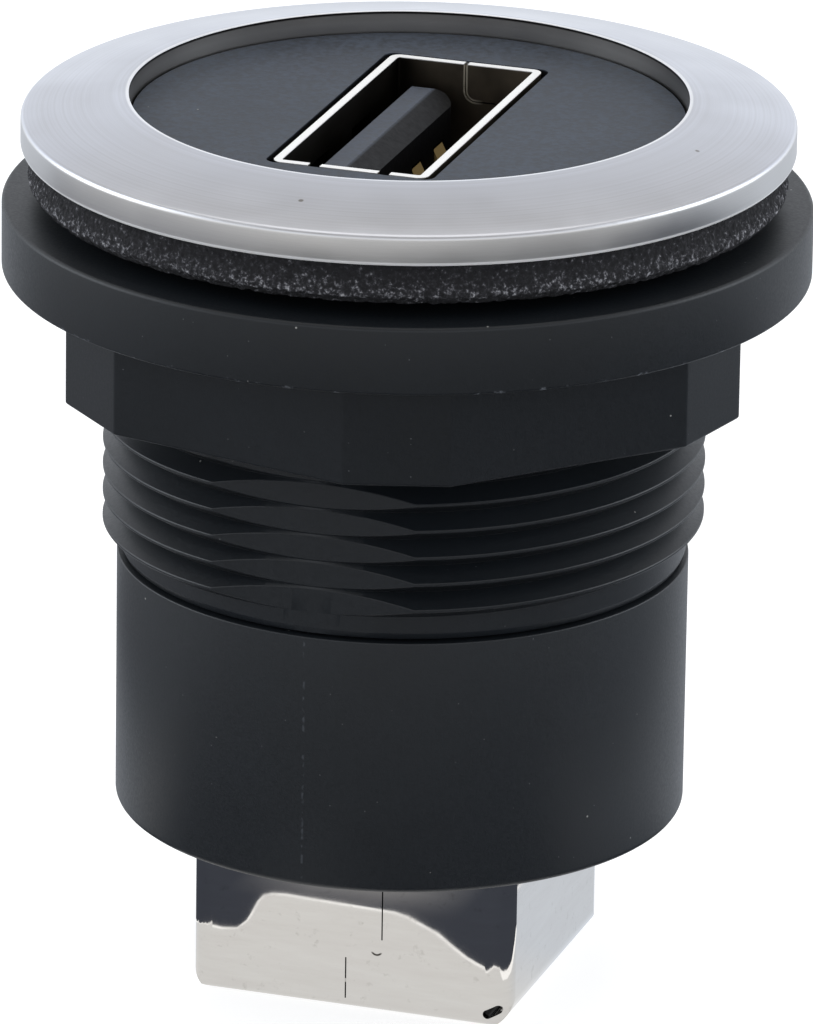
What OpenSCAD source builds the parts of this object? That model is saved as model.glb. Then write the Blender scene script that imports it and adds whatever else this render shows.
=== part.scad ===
// Panel feed-through socket: a flat socket in front and a square socket behind,
// clamped in a round panel hole between a bezel and a nut.
// The origin is on the axis at the bezel's panel face, +Z points out of the front,
// and Y runs along the front socket's long side. All sizes are in millimetres.

/* [Bezel ring] */
// Outer diameter of the bezel
bezel_d = 28; // [27.6:0.1:29]
// Height of the outer edge over the panel face
bezel_band_h = 1.1; // [1.05:0.05:1.4]
// Rise of the conical face from the outer edge to the opening
bezel_rise = 0.85; // [0.6:0.05:1]
// Diameter of the opening
bezel_opening_d = 20.2; // [19.8:0.1:21]
// Wall of the bezel
bezel_wall = 0.6; // [0.5:0.05:0.65]
// Rounding between the conical face and the outer edge
bezel_edge_r = 0.25; // [0.1:0.05:0.3]
// Chamfer round the opening
bezel_chamfer = 0.2; // [0.1:0.05:0.3]
// Broken edge at the foot of the bezel
bezel_foot_chamfer = 0.1; // [0.05:0.05:0.2]

/* [Front plate] */
// Depth of the plate's face below the bezel's inner edge
plate_recess = 0.85; // [0.8:0.05:1.1]
// Depth of the plate's rim below its face
plate_step = 0.3; // [0.2:0.05:0.4]
// Thickness of the rim that the bezel holds down
plate_rim_h = 0.55; // [0.4:0.05:0.6]
// Width of the rim under the bezel
plate_rim_w = 1.3; // [1:0.1:1.6]
// Play between the plate and what surrounds it
plate_fit = 0.1; // [0.05:0.05:0.15]
// Gap beside the long sides of the socket shell
cutout_side_gap = 0.25; // [0.1:0.05:0.4]
// Gap at the short sides of the socket shell
cutout_end_gap = 0.1; // [0.05:0.05:0.3]

/* [Threaded body] */
// Height of the head inside the bezel
head_h = 0.5; // [0.4:0.05:0.55]
// Play between the head and the bezel's skirt
head_fit = 0.05; // [0.03:0.01:0.1]
// Outer diameter of the thread
thread_d = 21.94; // [21.6:0.02:22]
// Distance from ridge to ridge
thread_pitch = 1; // [0.9:0.05:1.2]
// Width of a ridge's crest
thread_crest_w = 0.1; // [0.08:0.02:0.2]
// Width of the floor of the groove between two ridges
thread_root_w = 0.06; // [0.04:0.02:0.2]
// Distance from the panel face to the first ridge
thread_start = 0.8; // [0.6:0.1:1.4]
// Diameter of the plain neck behind the thread
neck_d = 20.7; // [20.6:0.02:20.9]
// Distance from the last ridge's crest to the end of the body
neck_len = 1.1; // [0.8:0.1:2]
// Distance across the two flats
flat_across = 20.56; // [20.3:0.02:20.8]
// Distance from the panel face to the end of the body
body_len = 15.1; // [14.9:0.1:16]

/* [Panel gasket] */
// Outer diameter of the gasket
gasket_d = 27.6; // [26.5:0.1:28]
// Thickness of the gasket
gasket_t = 1.6; // [1.2:0.1:2]
// Radial gap between the gasket and the thread
gasket_bore_gap = 0.25; // [0.2:0.05:0.5]
// Rounding of the gasket's outer edges
gasket_edge_r = 0.45; // [0.2:0.05:0.55]

/* [Panel nut] */
// Gap between the gasket and the nut, as the nut was left
nut_gap = 0.45; // [0.4:0.05:4]
// Angle at which the nut was left
nut_angle = -13; // [-30:1:30]
// Diameter of the round flange
nut_flange_d = 29.34; // [28:0.02:31]
// Thickness of the flange
nut_flange_h = 2.5; // [2:0.1:3]
// Rounding of the flange's upper edge
nut_flange_r = 0.15; // [0.1:0.05:0.8]
// Distance across the hexagon's wide faces
hex_across = 24.2; // [24:0.1:26]
// Distance across the narrow faces that cut its corners
hex_corner_across = 25.75; // [25.5:0.05:27]
// Height of the hexagon
hex_h = 4; // [3:0.1:5]
// Radial gap between the nut and the crests of the thread
nut_thread_gap = 0.18; // [0.15:0.01:0.25]
// Chamfer at both ends of the nut's bore
nut_bore_chamfer = 0.3; // [0.1:0.05:0.5]

/* [Rear housing] */
// Outer diameter of the rear housing
rear_d = 20.88; // [20.6:0.02:20.9]
// Length of the rear housing
rear_len = 9.6; // [8.5:0.1:11]
// Gap that shows between the body and the rear housing
seam_gap = 0.25; // [0.1:0.05:0.4]
// Wall of the spigot that reaches into the body
spigot_wall = 0.75; // [0.6:0.05:0.8]
// Play between the spigot and the body
spigot_fit = 0.05; // [0.03:0.01:0.1]
// Thickness of the rear floor
rear_floor = 1.5; // [1:0.1:2]
// Rounding of the housing's rear edge
rear_edge_r = 0.25; // [0.1:0.05:0.4]
// Gap round the rear socket in the floor
rear_opening_gap = 0.1; // [0.05:0.05:0.15]

/* [Circuit board] */
// Diameter of the board
board_d = 18; // [17.9:0.1:18.2]
// Thickness of the board
board_t = 1.6; // [1.2:0.1:2]
// Play round the board
board_fit = 0.1; // [0.05:0.05:0.15]
// Distance from the body's end to the board, which the rear housing's spigot fills
board_inset = 0.55; // [0.4:0.05:1]
// Width of the ledge that the board sits on
board_ledge = 0.6; // [0.4:0.1:1]

/* [Front socket] */
// Long side of the shell
front_shell_w = 13.7; // [13:0.05:14]
// Short side of the shell
front_shell_h = 5.8; // [5.6:0.05:5.9]
// Outer radius of the shell's corners
front_corner_r = 0.4; // [0.4:0.05:0.8]
// Width of a spring finger
finger_w = 1.4; // [1.2:0.1:1.8]
// Length of a spring finger
finger_len = 5; // [4:0.1:6]
// Distance between the two fingers of a wall
finger_spacing = 4.8; // [4.4:0.1:6]
// Distance from the rim to the fingers' windows
finger_start = 1.2; // [1:0.1:3]
// Inward lean of the fingers
finger_lean = 4; // [2:0.5:5]
// Gap round a spring finger
finger_gap = 0.4; // [0.3:0.05:0.5]
// Distance between the two slits in the rim of one short wall
rim_slit_spacing = 2.6; // [2.2:0.1:3.4]
// Width of those slits
rim_slit_w = 0.45; // [0.3:0.05:0.6]
// Depth of those slits below the rim
rim_slit_depth = 2.5; // [1:0.1:4]
// Width of the tongue
tongue_w = 11.1; // [10.8:0.1:11.4]
// Thickness of the tongue
tongue_t = 1.84; // [1.7:0.02:2]
// Gap between the tongue's back and the shell
tongue_gap = 0.76; // [0.6:0.02:0.9]
// Depth of the tongue's tip below the rim
tongue_recess = 0.6; // [0.5:0.05:1.2]
// Bevel at the tips of both sockets' tongues
tongue_bevel = 0.25; // [0.2:0.05:0.5]
// Rounding of the two corners of the tongue's tip
tongue_corner_r = 0.5; // [0.3:0.1:2.5]
// Width of the lead-in over the tongue's contacts
tongue_lead_w = 0.8; // [0.4:0.05:1]
// Height of that lead-in
tongue_lead_h = 0.5; // [0.3:0.05:0.8]
// Rounding of the tongue's upright edges on the contacts' side
tongue_side_r = 0.8; // [0.4:0.1:1]
// Height of the insulator's base on the board
front_base_h = 2.4; // [2:0.1:3]

/* [Rear socket] */
// Side of the shell along X
rear_shell_w = 12.3; // [11.8:0.05:12.5]
// Side of the shell along Y
rear_shell_h = 11.2; // [10.8:0.05:11.4]
// Place of the socket's middle along Y
rear_socket_y = -0.1; // [-0.15:0.01:0.15]
// Reach of the shell beyond the rear housing
rear_shell_reach = 6.5; // [5:0.05:8]
// Outer radius of the shell's upright folds
rear_fold_r = 0.9; // [0.4:0.05:1]
// Outer radius at the mouth of the folds along Y
rear_side_r = 0.9; // [0.6:0.05:1]
// Outer radius at the mouth of the folds along X
rear_lip_r = 0.4; // [0.4:0.05:0.8]
// Half width of the relief slot in one corner, where the folds meet
relief_r = 0.17; // [0.1:0.01:0.25]
// Straight length of that slot
relief_len = 0.4; // [0.2:0.05:0.5]
// Distance of the slot's middle from the side and from the mouth
relief_inset = 0.6; // [0.5:0.02:0.9]
// Slant of the slot
relief_angle = 27; // [0:1:45]
// Width of the mouth
mouth_w = 8.45; // [8.3:0.05:8.7]
// Height of the mouth
mouth_h = 7.78; // [7.6:0.02:8]
// Bevel of the mouth's two keying corners
mouth_bevel = 1.45; // [1:0.05:1.8]
// Place of the seam's upper slit on its face
rear_seam_x = 1.3; // [0.6:0.05:2]
// Sideways step from there to the lower slit
rear_seam_step = 1.38; // [1:0.02:1.6]
// Height of the upper slit's end over the mouth
rear_seam_step_z = 2.85; // [2:0.05:4]
// Distance that the lower slit starts below that
rear_seam_tight = 0.85; // [0.4:0.05:1]
// Depth of the cavity from the mouth
rear_cavity_depth = 9; // [8:0.1:10]
// Width of the rear tongue
rear_tongue_w = 5.6; // [5.4:0.1:5.8]
// Thickness of the rear tongue
rear_tongue_t = 3.2; // [3:0.05:3.4]
// Depth of the rear tongue's tip below the mouth
rear_tongue_recess = 1.4; // [1.2:0.1:2]

/* [Sheet and contacts] */
// Thickness of both socket shells
sheet_t = 0.3; // [0.25:0.01:0.35]
// Width of the slit where a shell's edges meet
seam_w = 0.05; // [0.04:0.01:0.16]
// Play of the insulators inside their shells
insulator_fit = 0.1; // [0.05:0.05:0.15]
// Width of a contact
contact_w = 1; // [0.8:0.05:1.1]
// Thickness of a contact
contact_t = 0.25; // [0.2:0.01:0.3]
// Play of a contact in its groove
contact_fit = 0.05; // [0.03:0.01:0.08]
// Height of a front contact's bow over the tongue
front_bow = 0.6; // [0.4:0.05:0.8]
// Height of a rear contact's bow over the tongue
rear_bow = 0.35; // [0.2:0.05:0.5]
// Distance between the two rear contacts of a side
rear_contact_spacing = 2.5; // [2.3:0.1:2.8]

/* [Hidden] */
$fn = 96;
// Overshoot of every cut
over = 1;
// Places of the four front contacts along the tongue, outer pair and inner pair
front_contact_places = [-3.5, -1, 1, 3.5];
// Bows of the contacts: distances from the tongue's tip to the bow's start, crown and end
front_bow_places = [6, 3.4, 2.8, 1.6];
rear_bow_places = [5.4, 3.2, 2.6, 1.4];
// Tab that locks the front shell's seam: depth below the rim, height, width and rounding
tab_depth = 1.4;
tab_h = 1.6;
tab_w = 1.3;
tab_r = 0.4;

black_plastic = "#26292c";
disc_plastic = "#34363b";
foam_rubber = "#2b2b2d";
satin_steel = "#c2c2c4";
plated_sheet = "#d2d0ca";
socket_plastic = "#18191b";
gold = "#c9a250";
board_green = "#1f5a3a";

// Radii of the turned pieces
bezel_r = bezel_d / 2;
opening_r = bezel_opening_d / 2;
plate_r = opening_r - plate_fit;
plate_rim_r = opening_r + plate_rim_w;
head_r = bezel_r - bezel_wall - head_fit;
thread_r = thread_d / 2;
thread_depth = (thread_pitch - thread_crest_w - thread_root_w) / 2 / tan(30);
root_r = thread_r - thread_depth;
neck_r = neck_d / 2;
board_r = board_d / 2;
board_seat_r = board_r + board_fit;
front_bore_r = board_r - board_ledge;
rear_r = rear_d / 2;
spigot_r = board_seat_r - spigot_fit;
rear_bore_r = spigot_r - spigot_wall;
nut_bore_r = thread_r + nut_thread_gap;

// Heights along the axis
bezel_top = bezel_band_h + bezel_rise;
plate_top = bezel_top - plate_recess;
plate_rim_top = plate_top - plate_step;
plate_bottom = plate_rim_top - plate_rim_h;
nut_top = -gasket_t - nut_gap;
nut_flange_bottom = nut_top - nut_flange_h;
nut_bottom = nut_flange_bottom - hex_h;
thread_last = neck_len - body_len;
board_back = board_inset - body_len;
board_front = board_back + board_t;
rear_top = -body_len - seam_gap;
rear_bottom = rear_top - rear_len;
mouth_z = rear_bottom - rear_shell_reach;

// Slope of the bezel's face, its height at a radius, and the tangent length of its edge rounding
bezel_slope = bezel_rise / (bezel_r - opening_r);
bezel_angle = atan(bezel_slope);
bezel_tangent = bezel_edge_r / tan((90 + bezel_angle) / 2);
function bezel_face(r) = bezel_band_h + (bezel_r - r) * bezel_slope;

// Thread ridges as a section, from the first down to the last, which ends at the neck
thread_foot = (thread_pitch - thread_root_w) / 2;
thread_count = floor((-thread_last - thread_start - thread_foot) / thread_pitch) + 1;
function ridge(z, low_r) = [
  [root_r, z + thread_foot],
  [thread_r, z + thread_crest_w / 2],
  [thread_r, z - thread_crest_w / 2],
  [low_r, z - thread_crest_w / 2 - (thread_r - low_r) * tan(30)]
];
ridges = [
  for (i = [thread_count - 1 : -1 : 0])
    for (p = ridge(thread_last + i * thread_pitch, i > 0 ? root_r : neck_r)) p
];

// Insulators, tongues and contacts
rear_socket_place = [0, rear_socket_y, 0];
front_inner_h = front_shell_h - 2 * sheet_t;
front_inner_w = front_shell_w - 2 * sheet_t;
tongue_back = tongue_gap - front_inner_h / 2;
tongue_face = tongue_back + tongue_t;
tongue_tip = plate_top - tongue_recess;
rear_inner_w = rear_shell_w - 2 * sheet_t;
rear_inner_h = rear_shell_h - 2 * sheet_t;
rear_tongue_tip = mouth_z + rear_tongue_recess;
rear_cavity_floor = mouth_z + rear_cavity_depth;
rear_block_end = mouth_z + rear_side_r + insulator_fit;
rear_folds = [rear_fold_r, rear_side_r, rear_lip_r];
groove_w = contact_w + 2 * contact_fit;
groove_depth = contact_t + 2 * contact_fit;

// Rectangle with rounded corners, about its centre
module rounded_rect(x, y, r) {
  square([x - 2 * r, y], center = true);
  square([x, y - 2 * r], center = true);
  for (i = [-1, 1], j = [-1, 1])
    translate([i * (x / 2 - r), j * (y / 2 - r)]) circle(r);
}

// Box with round upright edges and a round fold along each edge of its lower end;
// the three radii are those of the edges along Z, along Y and along X
module folded_box(x, y, radii, low, high) {
  intersection() {
    translate([0, 0, low]) linear_extrude(high - low) rounded_rect(x, y, radii[0]);
    translate([0, y / 2, 0]) rotate([90, 0, 0]) linear_extrude(y)
      end_round(x, radii[1], low, high);
    translate([-x / 2, 0, 0]) rotate([90, 0, 90]) linear_extrude(x)
      end_round(y, radii[2], low, high);
  }
}

// Upright rectangle with its two lower corners rounded
module end_round(w, r, low, high) {
  translate([-w / 2, low + r]) square([w, high - low - r]);
  translate([-w / 2 + r, low]) square([w - 2 * r, high - low]);
  for (i = [-1, 1])
    translate([i * (w / 2 - r), low + r]) circle(r);
}

// Outline of a slit between two heights, as wide as a seam
module slit(x, low, high) {
  translate([x - seam_w / 2, low]) square([seam_w, high - low]);
}

// Seam of the front shell: straight down, out round a tab with rounded corners, and on to the end
module front_seam() {
  tab_top = plate_top - tab_depth;
  tab_bottom = tab_top - tab_h;
  slit(0, tab_top + tab_r, plate_top + over);
  slit(0, board_front - over, tab_bottom - tab_r);
  slit(tab_w, tab_bottom - seam_w / 2, tab_top + seam_w / 2);
  for (z = [tab_top, tab_bottom])
    translate([tab_r, z - seam_w / 2]) square([tab_w - tab_r, seam_w]);
  for (end = [0, 1])
    translate([tab_r, end == 0 ? tab_top + tab_r : tab_bottom - tab_r]) mirror([0, end])
      intersection() {
        difference() {
          circle(tab_r + seam_w / 2);
          circle(tab_r - seam_w / 2);
        }
        translate([-2 * tab_r, -2 * tab_r]) square(2 * tab_r);
      }
}

// Seam of the rear shell: an upper and a lower slit, joined by a stretch that is pressed tight
module rear_seam() {
  slit(rear_seam_x, mouth_z + rear_seam_step_z, board_back + over);
  slit(
    rear_seam_x - rear_seam_step,
    mouth_z + rear_lip_r,
    mouth_z + rear_seam_step_z - rear_seam_tight
  );
}

// Strip from the board to near the tongue's tip, as wide as a contact, with a bow over its seat
module contact_strip(board, tip, places, bow) {
  way = sign(board - tip);
  rise = [0, bow, bow, 0];
  points = concat([[0, board]], [for (i = [0 : 3]) [rise[i], tip + way * places[i]]]);
  rotate([90, 0, 0]) linear_extrude(contact_w, center = true)
    polygon(concat(
      [for (p = points) [p[0] + contact_t, p[1]]],
      [for (i = [len(points) - 1 : -1 : 0]) points[i]]
    ));
}

module bezel_ring() color(satin_steel) rotate_extrude() {
  polygon([
    [opening_r, plate_rim_top],
    [opening_r + bezel_wall, plate_rim_top],
    [opening_r + bezel_wall, bezel_face(opening_r + bezel_wall) - bezel_wall],
    [bezel_r - bezel_wall, bezel_face(bezel_r - bezel_wall) - bezel_wall],
    [bezel_r - bezel_wall, 0],
    [bezel_r - bezel_foot_chamfer, 0],
    [bezel_r, bezel_foot_chamfer],
    [bezel_r, bezel_band_h - bezel_tangent],
    [bezel_r - bezel_tangent * cos(bezel_angle), bezel_band_h + bezel_tangent * sin(bezel_angle)],
    [opening_r + bezel_chamfer, bezel_face(opening_r + bezel_chamfer)],
    [opening_r, bezel_face(opening_r) - bezel_chamfer]
  ]);
  translate([bezel_r - bezel_edge_r, bezel_band_h - bezel_tangent]) circle(bezel_edge_r);
}

module front_plate() color(disc_plastic) difference() {
  union() {
    translate([0, 0, plate_bottom]) cylinder(r = plate_rim_r, h = plate_rim_h);
    translate([0, 0, plate_bottom]) cylinder(r = plate_r, h = plate_top - plate_bottom);
  }
  translate([0, 0, plate_bottom - over])
    linear_extrude(plate_top - plate_bottom + 2 * over)
      rounded_rect(
        front_shell_h + 2 * cutout_side_gap,
        front_shell_w + 2 * cutout_end_gap,
        front_corner_r
      );
}

module threaded_body() color(black_plastic) difference() {
  rotate_extrude() polygon(concat(
    [
      [front_bore_r, board_front],
      [front_bore_r, plate_bottom],
      [plate_rim_r + plate_fit, plate_bottom],
      [plate_rim_r + plate_fit, head_h],
      [head_r, head_h],
      [head_r, 0],
      [root_r, 0]
    ],
    ridges,
    [
      [neck_r, -body_len],
      [board_seat_r, -body_len],
      [board_seat_r, board_front]
    ]
  ));
  for (side = [-1, 1])
    translate([-thread_r, side * (flat_across / 2 + thread_r / 2) - thread_r / 2, -body_len - over])
      cube([thread_d, thread_r, body_len + over - thread_start / 2]);
}

module panel_gasket() color(foam_rubber) rotate_extrude() {
  gasket_r = gasket_d / 2;
  bore_r = thread_r + gasket_bore_gap;
  translate([bore_r, -gasket_t]) square([gasket_r - gasket_edge_r - bore_r, gasket_t]);
  translate([bore_r, gasket_edge_r - gasket_t])
    square([gasket_r - bore_r, gasket_t - 2 * gasket_edge_r]);
  for (z = [-gasket_edge_r, gasket_edge_r - gasket_t])
    translate([gasket_r - gasket_edge_r, z]) circle(gasket_edge_r);
}

module panel_nut() color(black_plastic) difference() {
  flange_r = nut_flange_d / 2;
  union() {
    rotate_extrude() {
      translate([0, nut_flange_bottom]) square([flange_r, nut_flange_h - nut_flange_r]);
      translate([0, nut_flange_bottom]) square([flange_r - nut_flange_r, nut_flange_h]);
      translate([flange_r - nut_flange_r, nut_top - nut_flange_r]) circle(nut_flange_r);
    }
    translate([0, 0, nut_bottom]) rotate(nut_angle) linear_extrude(hex_h + nut_flange_h / 2)
      intersection() {
        circle(hex_across / 2 / cos(30), $fn = 6);
        rotate(30) circle(hex_corner_across / 2 / cos(30), $fn = 6);
      }
  }
  translate([0, 0, nut_bottom - over])
    cylinder(r = nut_bore_r, h = nut_top - nut_bottom + 2 * over);
  translate([0, 0, nut_bottom])
    cylinder(r1 = nut_bore_r + nut_bore_chamfer, r2 = nut_bore_r, h = nut_bore_chamfer);
  translate([0, 0, nut_top - nut_bore_chamfer])
    cylinder(r1 = nut_bore_r, r2 = nut_bore_r + nut_bore_chamfer, h = nut_bore_chamfer);
}

module rear_housing() color(black_plastic) difference() {
  rotate_extrude() {
    translate([rear_bore_r, rear_top - over])
      square([spigot_r - rear_bore_r, board_back - rear_top + over]);
    translate([0, rear_bottom + rear_edge_r]) square([rear_r, rear_len - rear_edge_r]);
    translate([0, rear_bottom]) square([rear_r - rear_edge_r, rear_len]);
    translate([rear_r - rear_edge_r, rear_bottom + rear_edge_r]) circle(rear_edge_r);
  }
  translate([0, 0, rear_bottom + rear_floor]) cylinder(r = rear_bore_r, h = rear_len);
  translate([0, 0, rear_bottom - over]) linear_extrude(board_back - rear_bottom + 2 * over)
    translate([0, rear_socket_y]) rounded_rect(
      rear_shell_w + 2 * rear_opening_gap,
      rear_shell_h + 2 * rear_opening_gap,
      rear_fold_r
    );
}

module circuit_board() color(board_green)
  translate([0, 0, board_back]) cylinder(r = board_r, h = board_t);

module front_socket_shell() color(plated_sheet) {
  window_w = finger_w + 2 * finger_gap;
  window_h = finger_len + finger_gap;
  window_low = plate_top - finger_start - window_h;
  difference() {
    translate([0, 0, board_front]) linear_extrude(plate_top - board_front) difference() {
      rounded_rect(front_shell_h, front_shell_w, front_corner_r);
      rounded_rect(front_inner_h, front_inner_w, front_corner_r - sheet_t);
    }
    for (side = [-1, 1], place = [-1, 1])
      translate([side * (front_shell_h - sheet_t) / 2, place * finger_spacing / 2, window_low])
        translate([-2 * sheet_t, -window_w / 2, 0]) cube([4 * sheet_t, window_w, window_h]);
    translate([0, front_shell_w / 2, 0]) rotate([90, 0, 0])
      linear_extrude(4 * sheet_t, center = true) front_seam();
    for (place = [-1, 1])
      translate([place * rim_slit_spacing / 2, (sheet_t - front_shell_w) / 2, plate_top])
        cube([rim_slit_w, 4 * sheet_t, 2 * rim_slit_depth], center = true);
  }
  for (side = [0, 1], place = [-1, 1])
    mirror([side, 0, 0])
      translate([front_shell_h / 2 - sheet_t, place * finger_spacing / 2 - finger_w / 2, window_low])
        rotate([0, -finger_lean, 0]) translate([0, 0, -sheet_t])
          cube([sheet_t, finger_w, finger_len + sheet_t]);
}

module front_socket_insulator() color(socket_plastic) difference() {
  union() {
    translate([0, 0, board_front]) linear_extrude(front_base_h)
      rounded_rect(
        front_inner_h - 2 * insulator_fit,
        front_inner_w - 2 * insulator_fit,
        front_corner_r - sheet_t
      );
    intersection() {
      translate([0, tongue_w / 2, 0]) rotate([90, 0, 0]) linear_extrude(tongue_w) polygon([
        [tongue_back, board_front],
        [tongue_face, board_front],
        [tongue_face, tongue_tip - tongue_lead_h],
        [tongue_face - tongue_lead_w, tongue_tip],
        [tongue_back + tongue_bevel, tongue_tip],
        [tongue_back, tongue_tip - tongue_bevel]
      ]);
      rotate([0, 180, 90]) rotate([90, 0, 0]) linear_extrude(front_shell_h, center = true)
        end_round(tongue_w, tongue_corner_r, -tongue_tip, -board_front);
      translate([tongue_face - tongue_t, 0, board_front]) linear_extrude(tongue_tip - board_front)
        rounded_rect(2 * tongue_t, tongue_w, tongue_side_r);
    }
  }
  for (y = front_contact_places)
    translate([tongue_face - groove_depth, y - groove_w / 2, board_front - over])
      cube([groove_depth + contact_fit, groove_w, tongue_tip - tongue_lead_h - board_front]);
}

module front_contact(i) color(gold) {
  seat = tongue_face - groove_depth + contact_fit;
  translate([seat, front_contact_places[i - 1], 0])
    contact_strip(board_front, tongue_tip, front_bow_places, front_bow);
}

module rear_socket_shell() color(plated_sheet) translate(rear_socket_place) difference() {
  folded_box(rear_shell_w, rear_shell_h, rear_folds, mouth_z, board_back);
  folded_box(
    rear_inner_w,
    rear_inner_h,
    [for (r = rear_folds) r - sheet_t],
    mouth_z + sheet_t,
    board_back + over
  );
  translate([0, 0, mouth_z - over]) linear_extrude(sheet_t + 2 * over) mouth();
  translate([0, -rear_shell_h / 2, 0]) rotate([90, 0, 0]) linear_extrude(4 * sheet_t, center = true) {
    rear_seam();
    translate([rear_shell_w / 2 - relief_inset, mouth_z + relief_inset]) rotate(relief_angle) {
      square([relief_len, 2 * relief_r], center = true);
      for (end = [-1, 1])
        translate([end * relief_len / 2, 0]) circle(relief_r);
    }
  }
}

// Mouth of the rear socket, with its two keying corners bevelled
module mouth() {
  polygon([
    [-mouth_w / 2, -mouth_h / 2],
    [mouth_w / 2, -mouth_h / 2],
    [mouth_w / 2, mouth_h / 2 - mouth_bevel],
    [mouth_w / 2 - mouth_bevel, mouth_h / 2],
    [mouth_bevel - mouth_w / 2, mouth_h / 2],
    [-mouth_w / 2, mouth_h / 2 - mouth_bevel]
  ]);
}

module rear_socket_insulator() color(socket_plastic) translate(rear_socket_place) difference() {
  translate([0, 0, rear_block_end]) linear_extrude(board_back - rear_block_end)
    rounded_rect(
      rear_inner_w - 2 * insulator_fit,
      rear_inner_h - 2 * insulator_fit,
      rear_fold_r - sheet_t
    );
  difference() {
    translate([0, 0, mouth_z]) linear_extrude(rear_cavity_depth) mouth();
    translate([0, 0, rear_tongue_tip]) linear_extrude(rear_cavity_depth)
      square([rear_tongue_w, rear_tongue_t], center = true);
  }
  for (side = [0, 1], place = [-1, 1])
    mirror([0, side, 0])
      translate([
        place * rear_contact_spacing / 2 - groove_w / 2,
        rear_tongue_t / 2 - groove_depth,
        rear_tongue_tip + tongue_bevel
      ]) cube([groove_w, groove_depth + contact_fit, board_back - rear_tongue_tip]);
}

module rear_contact(i) color(gold) {
  side = i > 2 ? 1 : 0;
  place = (i % 2) * 2 - 1;
  seat = rear_tongue_t / 2 - groove_depth + contact_fit;
  translate(rear_socket_place) mirror([0, side, 0])
    translate([place * rear_contact_spacing / 2, seat, 0]) rotate(90)
      contact_strip(board_back, rear_tongue_tip, rear_bow_places, rear_bow);
}

bezel_ring();
front_plate();
threaded_body();
panel_gasket();
panel_nut();
rear_housing();
circuit_board();
front_socket_shell();
front_socket_insulator();
front_contact(1);  // front_contact_1
front_contact(2);  // front_contact_2
front_contact(3);  // front_contact_3
front_contact(4);  // front_contact_4
rear_socket_shell();
rear_socket_insulator();
rear_contact(1);  // rear_contact_1
rear_contact(2);  // rear_contact_2
rear_contact(3);  // rear_contact_3
rear_contact(4);  // rear_contact_4
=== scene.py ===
"""Panel feed-through usb socket, dressed for a studio picture of it standing on its rear socket.

Sizes are in millimetres until a mesh is made. An azimuth is counted from -Y towards +X.
"""
import math

import bmesh
import bpy
import numpy as np
from mathutils import Matrix, Vector


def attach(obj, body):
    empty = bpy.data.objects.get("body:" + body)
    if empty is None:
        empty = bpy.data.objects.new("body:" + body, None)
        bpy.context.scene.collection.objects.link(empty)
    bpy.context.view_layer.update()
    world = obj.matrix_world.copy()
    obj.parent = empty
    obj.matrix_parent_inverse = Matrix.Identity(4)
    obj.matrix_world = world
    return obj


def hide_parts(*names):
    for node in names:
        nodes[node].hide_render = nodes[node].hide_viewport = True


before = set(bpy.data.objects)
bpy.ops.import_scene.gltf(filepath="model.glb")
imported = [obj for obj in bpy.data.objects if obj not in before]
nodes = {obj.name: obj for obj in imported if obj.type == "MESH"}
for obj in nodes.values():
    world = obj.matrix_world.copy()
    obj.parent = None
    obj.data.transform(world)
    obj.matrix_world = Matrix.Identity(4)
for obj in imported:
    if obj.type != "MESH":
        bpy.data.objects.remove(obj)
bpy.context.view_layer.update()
MM = 0.001

# Heights and radii that the solids have too
THREAD_R, ROOT_R, NECK_R = 10.97, 10.2425, 10.35
THREAD_TOP, LAST_RIDGE, FIRST_RIDGE, BODY_END = -0.8, -14, -1, -15.1
THREAD_LEAD, CREST_W, RIDGE_FOOT = 1.0, 0.1, 0.497
FLANK = math.tan(math.radians(30))
FLAT_DIST = 10.28
HEAD_R, HEAD_H = 13.35, 0.5
PLATE_SEAT_R, PLATE_BOTTOM, PLATE_TOP = 11.5, 0.25, 1.1
FRONT_BORE_R, BOARD_SEAT_R, BOARD_FRONT = 8.4, 9.1, -12.95
BEZEL_R, BEZEL_OPENING_R, BEZEL_BAND, BEZEL_TOP = 14.0, 10.1, 1.1, 1.95
BEZEL_WALL, BEZEL_SKIRT_END = 0.6, 0.8
GASKET_R, GASKET_BORE_R, GASKET_T = 13.8, 11.22, 1.6
NUT_TOP, FLANGE_BOTTOM, NUT_BOTTOM = -2.05, -4.55, -8.55
FLANGE_R, NUT_BORE_R, NUT_ANGLE = 14.67, 11.15, -13.0
HEX_FACE, HEX_CORNER_FACE = 12.1, 12.875
HOUSING_R, HOUSING_TOP, HOUSING_BOTTOM, HOUSING_FLOOR = 10.44, -15.35, -24.95, 1.5
SPIGOT_R, SPIGOT_BORE_R, SPIGOT_TOP = 9.05, 8.3, -14.55
SOCKET_Y, OPENING_X, OPENING_Y, OPENING_CORNER = -0.1, 12.5, 11.4, 0.9
TONGUE_TIP, MOUTH_Z = 0.5, -31.45
SEAM_R, SEAM_BEND_Z = 0.4, 0.1

# Small edges, gaps and run-outs
BEZEL_CHAMFER, BEZEL_LAND = 0.1, 0.2
FOAM_GAP, FOAM_BULGE_Z = 0.02, -1.2
WANDER_FROM_R, WANDER_OVER, WANDER_SHIFT = 12.6, 0.8, 37
NUT_CHAMFER, NUT_END_RING, FLANGE_LEDGE, LEDGE_R = 0.3, 0.6, 0.4, 13.2
CREST_BREAK, DIP_DEGREES = 0.02, 14.0
FADE_DEGREES, FADE_HEIGHT = 30, 0.6
FOOT_CHAMFER, FOOT_DROP = 0.1, 0.14
HOUSING_END_RING = 0.6
WORN_BAND = 0.06

# Middle and radius of a half-moon mark low on the rear shell's near face
MARK_X, MARK_Z, MARK_R = 1.1, -29.2, 0.2


# Shapes

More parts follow.
